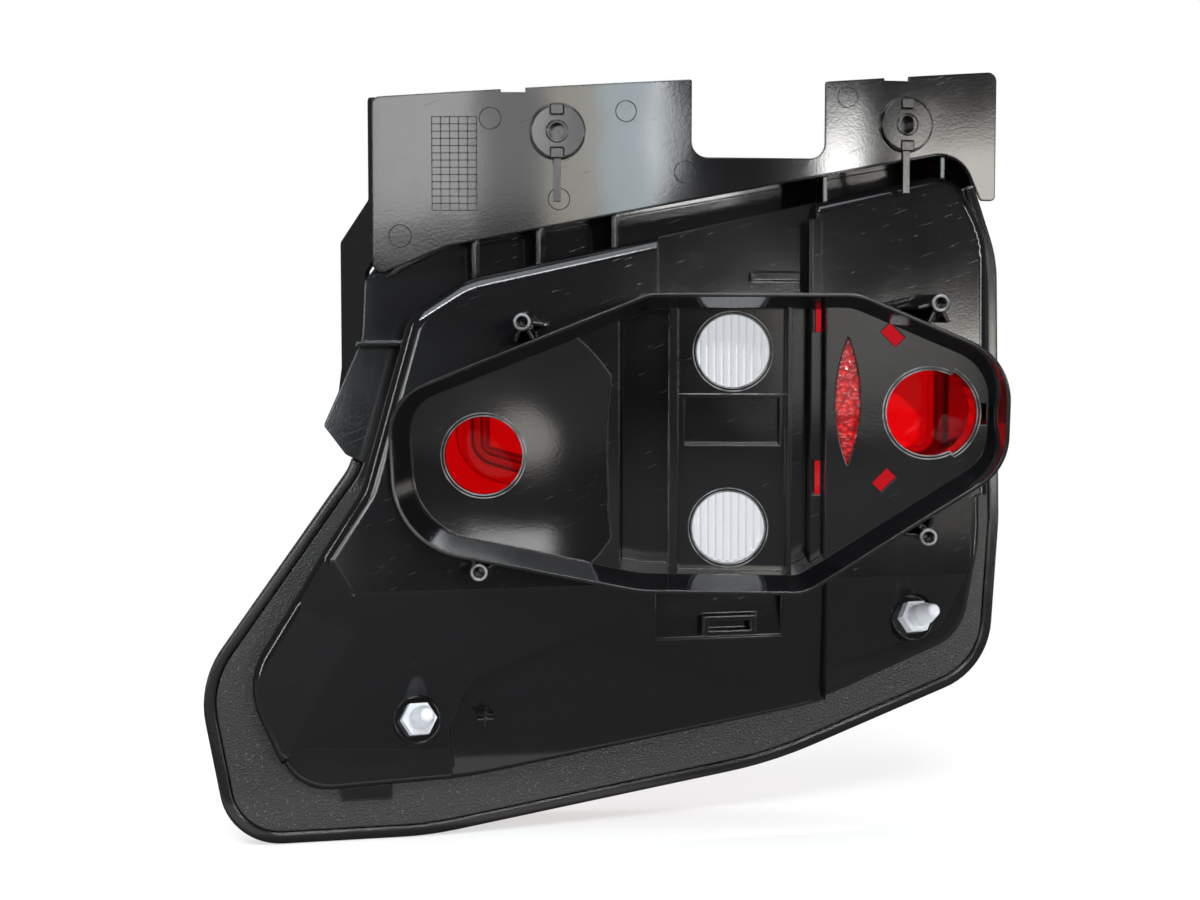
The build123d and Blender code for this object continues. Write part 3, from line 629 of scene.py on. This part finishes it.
class TAILLIGHT_OT_lenses(bpy.types.Operator):
    """Red lens with a dark edge of painted shade, its clear section and the stepped red discs with painted
    light on their steps
    """

    bl_idname = "taillight.lenses"
    bl_label = "Lens finish"

    def execute(self, context):
        props = context.scene.taillight_lens
        finish = new_finish("red_lens")
        where = finish.place()
        x, y, z = finish.axes(where)
        depth = y - parting_depth(x, z)
        ripple = finish.noise(where, LENS_RIPPLE)
        normal = finish.bump(ripple, *LENS_RELIEF)
        inputs = {
            "Base Color": rgba(props.red),
            "Roughness": LENS_GLOSS,
            "IOR": LENS_IOR,
            "Transmission Weight": LENS_CLARITY,
            "Normal": normal,
        }
        red = finish.surface(inputs)
        scuff = finish.noise(where, LENS_SCUFF, detail=3.0)
        inputs = {
            "Base Color": rgba(props.edge),
            "Roughness": uneven(EDGE_GLOSS, scuff),
            "IOR": PLASTIC_IOR,
            "Normal": finish.soft_edges(props.edge_round),
        }
        edge = finish.surface(inputs)
        # Painted shade: the lip of the lens is made opaque and dark, standing in for thick red acrylic
        # seen edge-on
        factor = depth.ramp(*LENS_SHADE_DEPTH)
        surface = finish.node("ShaderNodeMixShader", {}, {0: factor, 1: edge, 2: red})
        finish.end("ShaderNodeOutputMaterial", surface)
        dress(["outer_lens"], finish)

        clear = new_finish("clear_lens")
        where = clear.place()
        x, _, z = clear.axes(where)
        low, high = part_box("clear_lens")
        # Painted shade along the flutes, made uneven by a noise
        across = (x - (low[0] + high[0]) / 2) / FLUTE_PITCH
        painted_flute_shade = abs((across + 0.5).fraction() - 0.5).ramp(*FLUTE_SHADE_CUT)
        streak = clear.noise(where, FLUTE_UNEVEN)
        shade = (painted_flute_shade * uneven(FLUTE_SHADE, streak)).lower(1.0)
        upward_darkening = z.ramp(*DARKENING_HEIGHT).mix(rgba(props.clear), rgba(props.clear, TOP_SHARE))
        colour = shade.mix(upward_darkening, rgba(props.painted_flute_shade))
        inputs = {
            "Base Color": colour,
            "Roughness": CLEAR_GLOSS,
            "IOR": LENS_IOR,
            "Transmission Weight": 1.0,
        }
        clear.paint(inputs)
        dress(["clear_lens"], clear)

        for node, corner in (("tail_inner_optic", TAIL_STEP_LIGHT), ("fog_inner_optic", FOG_STEP_LIGHT)):
            optic = new_finish("red_" + node)
            x, _, z = optic.axes(optic.place())
            # Painted light and shade: bands of brightness on the steps are painted into the disc's colour
            level = optic.steps(x, z, corner)
            colour = level.mix(BLACK, rgba(props.optic))
            inputs = {
                "Base Color": colour,
                "Roughness": OPTIC_GLOSS,
                "IOR": OPTIC_IOR,
                "Transmission Weight": 1.0,
            }
            optic.paint(inputs)
            dress([node], optic)
        return {"FINISHED"}


class TAILLIGHT_OT_inner_pieces(bpy.types.Operator):
    """Bright bowls, reflex insert and seal"""

    bl_idname = "taillight.inner_pieces"
    bl_label = "Inner pieces"

    def execute(self, context):
        props = context.scene.taillight_trim
        bright = new_finish("bright_bowl")
        where = bright.place()
        haze = bright.noise(where, BOWL_HAZE, detail=3.0)
        inputs = {"Base Color": rgba(props.mirror), "Metallic": 1.0, "Roughness": uneven(BOWL_GLOSS, haze)}
        bright.paint(inputs)
        dress(["tail_reflector", "turn_reflector", "reverse_reflector", "fog_reflector"], bright)

        reflex = new_finish("red_reflex")
        where = reflex.place()
        cell = reflex.cells(where, REFLEX_CELLS)
        normal = reflex.bump(cell, *REFLEX_RELIEF)
        colour = cell.ramp(*REFLEX_CUT).mix(rgba(props.reflex), rgba(props.reflex, REFLEX_SHADE))
        inputs = {
            "Base Color": colour,
            "Roughness": REFLEX_GLOSS,
            "Normal": normal,
            "Coat Weight": REFLEX_COAT,
        }
        reflex.paint(inputs)
        dress(["reflex_reflector"], reflex)

        seal = new_finish("seal_bead")
        where = seal.place()
        grain = seal.noise(where, SEAL_GRAIN, detail=3.0)
        inputs = {"Base Color": SEAL_COLOUR, "Roughness": uneven(SEAL_GLOSS, grain)}
        seal.paint(inputs)
        dress(["lens_seal"], seal)
        return {"FINISHED"}


def flange_depth(x):
    """Depth of the flange's back face."""
    return FLANGE_AXIS[1] - math.sqrt(FLANGE_R**2 - (x - FLANGE_AXIS[0]) ** 2)


def bead_curve(name, radius):
    """An empty curve that is swept with a round section."""
    data = bpy.data.curves.new(name, "CURVE")
    data.dimensions = "3D"
    data.bevel_depth = radius
    data.bevel_resolution = BEAD_ROUNDNESS
    return data


def add_bead(data, points, closed):
    """A bead through points."""
    spline = data.splines.new("POLY")
    spline.points.add(len(points) - 1)
    for point, place in zip(spline.points, points):
        point.co = (*place, 1.0)
    spline.use_cyclic_u = closed


def add_ring(data, x, z, radius, depth):
    """A bead round a point, on a surface that gives its depth at an x."""
    turns = [math.tau * i / RING_POINTS for i in range(RING_POINTS)]
    places = [(x + radius * math.cos(turn), z + radius * math.sin(turn)) for turn in turns]
    add_bead(data, [(at, depth(at), up) for at, up in places], True)


def painted_highlight_edge(props):
    """Black plastic with a painted highlight: a brighter grey that stands in for light catching the edges,
    broken up in places.
    """
    finish = new_finish("painted_highlight_edge")
    where = finish.place()
    highlight_noise = finish.noise(where, HIGHLIGHT_BREAKS)
    # Painted highlight, broken into brighter and darker stretches
    colour = highlight_noise.ramp(*HIGHLIGHT_CUT).mix(rgba(props.painted_highlight, HIGHLIGHT_LOW_SHARE), rgba(props.painted_highlight))
    inputs = {"Base Color": colour, "Roughness": uneven(HIGHLIGHT_GLOSS, highlight_noise), "IOR": PLASTIC_IOR}
    finish.paint(inputs)
    return finish.owner


def place_beads(data, material):
    """Puts finished beads on the moulding."""
    beads = bpy.data.objects.new(data.name, data)
    bpy.context.scene.collection.objects.link(beads)
    data.materials.append(material)
    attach(beads, "root")


class TAILLIGHT_OT_opening_lips(bpy.types.Operator):
    """Thin moulded lips round the bulb openings, on the floor edges and on the screw posts, finished in a
    painted highlight
    """

    bl_idname = "taillight.opening_lips"
    bl_label = "Opening lips"

    def execute(self, context):
        props = context.scene.taillight_trim
        material = painted_highlight_edge(props)
        lips = bead_curve("opening_lips", props.lip)
        for opening in OPENINGS:
            step = STEP_WIDTH if opening is OPENINGS[-1] else 0.0
            for inset in (props.lip, props.lip + props.lip_width):
                add_bead(lips, self.outline(opening, inset, step), True)
        place_beads(lips, material)

        edges = bead_curve("floor_edges", props.lip)
        for ends in MIDDLE_EDGES:
            add_bead(edges, [(x, MIDDLE_FLOOR, z) for x, z in ends], False)
        place_beads(edges, material)

        posts = bead_curve("post_rings", props.post_ring)
        for x, z in POSTS:
            add_ring(posts, x, z, POST_RING, lambda at: POST_TOP)
        place_beads(posts, material)
        return {"FINISHED"}

    def outline(self, opening, inset, step):
        """Points round an opening, wider by a step on the right side."""
        x, z, y, radius = opening
        points = []
        for i in range(LIP_POINTS):
            turn = math.tau * i / LIP_POINTS
            wide = step if math.cos(turn) > math.cos(STEP_ANGLE) else 0.0
            reach = radius + inset + wide
            points.append((x + reach * math.cos(turn), y, z + reach * math.sin(turn)))
        return points


class TAILLIGHT_OT_moulding_marks(bpy.types.Operator):
    """Ejector rings, a plain grid and the rings of the screw bosses"""

    bl_idname = "taillight.moulding_marks"
    bl_label = "Moulding marks"

    def execute(self, context):
        props = context.scene.taillight_trim
        marks = bead_curve("flange_marks", props.mark)
        for x, z, radius in EJECTOR_MARKS:
            add_ring(marks, x, z, radius, flange_depth)
        left, low, wide, tall, columns, rows = FLANGE_GRID
        xs = [left + i * wide for i in range(columns + 1)]
        zs = [low + i * tall for i in range(rows + 1)]
        for x in xs:
            add_bead(marks, [(x, flange_depth(x), zs[0]), (x, flange_depth(x), zs[-1])], False)
        for z in zs:
            add_bead(marks, [(x, flange_depth(x), z) for x in xs], False)
        moulding = bpy.data.materials["black_moulding"]
        place_beads(marks, moulding)

        rings = bead_curve("boss_rings", props.boss_ring)
        for (x, y, z), slope in BOSSES:
            for radius in BOSS_RINGS:
                add_ring(rings, x, z, radius, lambda at: y + (at - x) * slope)
        place_beads(rings, moulding)
        return {"FINISHED"}


class TAILLIGHT_OT_trim_pieces(bpy.types.Operator):
    """White nylon pins and black screw caps"""

    bl_idname = "taillight.trim_pieces"
    bl_label = "Pins and caps"

    def execute(self, context):
        props = context.scene.taillight_trim
        nylon = new_finish("white_nylon")
        where = nylon.place()
        mottle = nylon.noise(where, NYLON_MOTTLE, detail=3.0)
        colour = mottle.ramp(*MOTTLE_CUT).mix(rgba(props.nylon), rgba(props.nylon, NYLON_SHADE))
        normal = nylon.bump(mottle, *NYLON_RELIEF, nylon.soft_edges(NYLON_EDGE))
        inputs = {"Base Color": colour, "Roughness": uneven(NYLON_GLOSS, mottle), "Normal": normal}
        nylon.paint(inputs)
        dress(["locating_pin_left", "locating_pin_right"], nylon)

        cap = new_finish("black_cap")
        where = cap.place()
        grain = cap.noise(where, CAP_GRAIN, detail=3.0)
        normal = cap.bump(grain, *CAP_RELIEF, cap.soft_edges(CAP_EDGE))
        inputs = {"Base Color": CAP_COLOUR, "Roughness": uneven(CAP_GLOSS, grain), "Normal": normal}
        cap.paint(inputs)
        dress(["screw_cap_round", "screw_cap_slot"], cap)
        return {"FINISHED"}


# Soft panels round the lamp, as seen from the middle of its flange: azimuth from the back towards the
# right, elevation, width and height in degrees, distance in metres, radiance and colour
PANELS = [
    ("left_panel", -10.5, 6.5, 11.0, 9.0, 2.2, 8.0, (1.0, 0.99, 0.98)),
    ("fill_panel", -1.5, 6.5, 7.0, 8.0, 2.2, 3.2, (0.97, 0.98, 1.0)),
    ("beige_panel", 4.6, 6.0, 5.2, 10.0, 2.2, 7.0, (1.0, 0.95, 0.84)),
    ("blue_panel", 10.0, 6.0, 5.4, 10.0, 2.2, 10.0, (0.82, 0.94, 1.0)),
    ("bright_panel", 13.2, 6.0, 1.5, 5.8, 4.0, 17.0, (0.95, 0.98, 1.0)),
    ("streak_panel", 31.0, 3.0, 4.0, 6.0, 2.2, 40.0, (1.0, 0.99, 0.97)),
    ("right_panel", 44.0, 3.0, 14.0, 6.0, 2.2, 13.0, (1.0, 0.97, 0.9)),
    ("low_card", -13.5, -12.6, 9.0, 6.0, 1.0, 3.6, (1.0, 0.95, 0.87)),
    ("right_card", 8.5, -2.6, 9.0, 6.0, 2.2, 1.7, (1.0, 0.97, 0.92)),
    ("top_panel", 0.0, 62.0, 46.0, 42.0, 2.2, 3.6, (0.93, 0.97, 1.0)),
    ("tube", 0.0, 38.0, 40.0, 2.5, 2.2, 70.0, (0.95, 0.98, 1.0)),
    ("front_left", -152.0, 34.0, 30.0, 24.0, 2.2, 7.0, (1.0, 0.99, 0.97)),
    ("front_right", 158.0, 30.0, 22.0, 30.0, 2.2, 4.0, (0.97, 0.98, 1.0)),
    ("left_strip", -62.0, 10.0, 2.5, 40.0, 2.2, 26.0, (0.95, 0.98, 1.0)),
    ("right_strip", 66.0, 10.0, 2.5, 40.0, 2.2, 26.0, (1.0, 0.98, 0.95)),
]
OVAL_PANELS = ("low_card",)
PANEL_CENTRE = (0.05, 0.01, -0.02)
# The floor: half its width, its gap to the lamp, where the shadow lies, how far off it has faded, how
# white the floor is in it, its specks, and how much darker polished faces see it
FLOOR_REACH = 6.0
FLOOR_GAP = 0.0005
SHADOW_PLACE = (0.03, 0.03)
SHADOW_FADE = (0.2, 0.7)
SHADOW_WHITE = 0.62
SPECK_COLOUR = (0.8, 0.8, 0.8, 1.0)
SPECK_SHARE = 0.03
MIRRORED_DARK = 0.8
# The kicker: width and height, its x, its rise off the lamp's lowest point, its distance from the parting
# plane towards the back, and its upward tilt
KICKER_SIZE = (0.36, 0.015)
KICKER_X = -0.03
KICKER_RISE = 0.008
KICKER_BACK = 0.035
KICKER_TILT = 0.35
# The camera: place in metres, viewing direction, and lens and sensor width in millimetres
CAMERA_PLACE = (0.04888, -0.85165, -0.08258)
CAMERA_FORWARD = (-0.03481, 0.99696, -0.06976)
CAMERA_LENS = 57.0
CAMERA_SENSOR = 36.0
CAMERA_NEAR = 0.01


def add_panel(name, azimuth, elevation, width, height, distance, radiance, colour, share):
    """A soft panel of even radiance that faces the flange."""
    turn, rise = math.radians(azimuth), math.radians(elevation)
    level = math.cos(rise)
    outward = Vector((math.sin(turn) * level, -math.cos(turn) * level, math.sin(rise)))
    data = bpy.data.lights.new(name, "AREA")
    data.shape = "ELLIPSE" if name in OVAL_PANELS else "RECTANGLE"
    data.size = distance * math.radians(width)
    data.size_y = distance * math.radians(height)
    data.energy = radiance * share * math.pi * data.size * data.size_y
    data.color = colour
    lamp = bpy.data.objects.new(name, data)
    lamp.location = Vector(PANEL_CENTRE) + outward * distance
    lamp.rotation_euler = (-outward).to_track_quat("-Z", "Y").to_euler()
    bpy.context.scene.collection.objects.link(lamp)


class TAILLIGHT_OT_studio(bpy.types.Operator):
    """Room light, floor, soft panels, kicker and camera"""

    bl_idname = "taillight.studio"
    bl_label = "Studio"

    def execute(self, context):
        props = context.scene.taillight_studio
        scene = context.scene
        scene.view_settings.view_transform = "Standard"
        self.room(scene, props)
        self.floor(scene, props)
        for panel in PANELS:
            add_panel(*panel, props.panels)
        self.kicker(scene, props)
        self.camera(scene)
        return {"FINISHED"}

    def room(self, scene, props):
        """White for the camera and through the lenses, dark in polished faces, an even grey elsewhere."""
        world = bpy.data.worlds.new("studio")
        scene.world = world
        finish = Finish(world)
        rays = finish.node("ShaderNodeLightPath", {}, {}, "Is Camera Ray")
        outputs = rays.socket.node.outputs
        through = Wire(finish, outputs["Is Transmission Ray"])
        glossy = Wire(finish, outputs["Is Glossy Ray"])
        white = rays.higher(through)
        level = white + (1 - white) * (props.room + glossy * (props.gloom - props.room))
        back = finish.node("ShaderNodeBackground", {}, {"Color": WHITE, "Strength": level})
        finish.end("ShaderNodeOutputWorld", back)

    def floor(self, scene, props):
        """A pale floor under the lamp that keeps its shadow."""
        bm = bmesh.new()
        bmesh.ops.create_grid(bm, x_segments=1, y_segments=1, size=FLOOR_REACH)
        bmesh.ops.translate(bm, verts=bm.verts, vec=(0.0, 0.0, CAD_BOX[0].z - FLOOR_GAP))
        mesh = bpy.data.meshes.new("floor")
        bm.to_mesh(mesh)
        bm.free()
        floor = bpy.data.objects.new("floor", mesh)
        scene.collection.objects.link(floor)
        finish = new_finish("pale_floor")
        where = finish.place()
        x, y, _ = finish.axes(where)
        right = x - SHADOW_PLACE[0]
        beyond = y - SHADOW_PLACE[1]
        away = (right * right + beyond * beyond) ** 0.5
        rays = finish.node("ShaderNodeLightPath", {}, {}, "Is Camera Ray")
        outputs = rays.socket.node.outputs
        seen = rays.higher(Wire(finish, outputs["Is Transmission Ray"]))
        white = seen * (SHADOW_WHITE + (1 - SHADOW_WHITE) * away.ramp(*SHADOW_FADE))
        speck = finish.noise(where, FLOOR_SPECKS) * SPECK_SHARE
        tint = speck.mix(rgba(props.floor_colour), SPECK_COLOUR)
        mirrored = Wire(finish, outputs["Is Glossy Ray"])
        tint = (mirrored * MIRRORED_DARK).mix(tint, BLACK)
        matt = finish.node("ShaderNodeBsdfDiffuse", {}, {"Color": tint})
        glow = finish.node("ShaderNodeEmission", {}, {"Color": WHITE, "Strength": 1.0})
        surface = finish.node("ShaderNodeMixShader", {}, {0: white, 1: matt, 2: glow})
        finish.end("ShaderNodeOutputMaterial", surface)
        mesh.materials.append(finish.owner)

    def kicker(self, scene, props):
        """A low strip on the floor that picks out the steps along the lower edge."""
        data = bpy.data.lights.new("kicker", "AREA")
        data.shape = "RECTANGLE"
        data.size, data.size_y = KICKER_SIZE
        data.energy = props.kicker * math.pi * data.size * data.size_y
        lamp = bpy.data.objects.new("kicker", data)
        x, z = KICKER_X, CAD_BOX[0].z + KICKER_RISE
        lamp.location = (x, parting_depth(x, z) - KICKER_BACK, z)
        facing = Vector((-PARTING[1], 1.0, KICKER_TILT))
        lamp.rotation_euler = facing.to_track_quat("-Z", "Y").to_euler()
        lamp.visible_camera = False
        scene.collection.objects.link(lamp)

    def camera(self, scene):
        """The photograph's point of view."""
        data = bpy.data.cameras.new("camera")
        data.sensor_width = CAMERA_SENSOR
        data.lens = CAMERA_LENS
        data.clip_start = CAMERA_NEAR
        camera = bpy.data.objects.new("camera", data)
        camera.location = CAMERA_PLACE
        camera.rotation_euler = Vector(CAMERA_FORWARD).to_track_quat("-Z", "Y").to_euler()
        scene.collection.objects.link(camera)
        scene.camera = camera


class TAILLIGHT_PT_panel(bpy.types.Panel):
    """Lists the steps and their settings"""

    bl_idname = "TAILLIGHT_PT_panel"
    bl_label = "Tail Light"
    bl_space_type = "VIEW_3D"
    bl_region_type = "UI"
    bl_category = "Tail Light"

    def draw(self, context):
        layout = self.layout
        for operator in OPERATORS:
            layout.operator(operator.bl_idname)
        for group in GROUPS:
            props = getattr(context.scene, group)
            for name in props.bl_rna.properties.keys():
                if name not in ("rna_type", "name"):
                    layout.prop(props, name)


GROUPS = {
    "taillight_housing": HousingProps,
    "taillight_lens": LensProps,
    "taillight_trim": TrimProps,
    "taillight_studio": StudioProps,
}
OPERATORS = [
    TAILLIGHT_OT_housing,
    TAILLIGHT_OT_lenses,
    TAILLIGHT_OT_inner_pieces,
    TAILLIGHT_OT_opening_lips,
    TAILLIGHT_OT_moulding_marks,
    TAILLIGHT_OT_trim_pieces,
    TAILLIGHT_OT_studio,
]
CLASSES = [*GROUPS.values(), *OPERATORS, TAILLIGHT_PT_panel]


def register():
    for cls in CLASSES:
        bpy.utils.register_class(cls)
    for name, group in GROUPS.items():
        setattr(bpy.types.Scene, name, PointerProperty(type=group))


def unregister():
    for name in GROUPS:
        delattr(bpy.types.Scene, name)
    for cls in reversed(CLASSES):
        bpy.utils.unregister_class(cls)


def main():
    register()
    bpy.ops.taillight.housing()
    bpy.ops.taillight.lenses()
    bpy.ops.taillight.inner_pieces()
    bpy.ops.taillight.opening_lips()
    bpy.ops.taillight.moulding_marks()
    bpy.ops.taillight.trim_pieces()
    bpy.ops.taillight.studio()


if __name__ == "__main__":
    main()
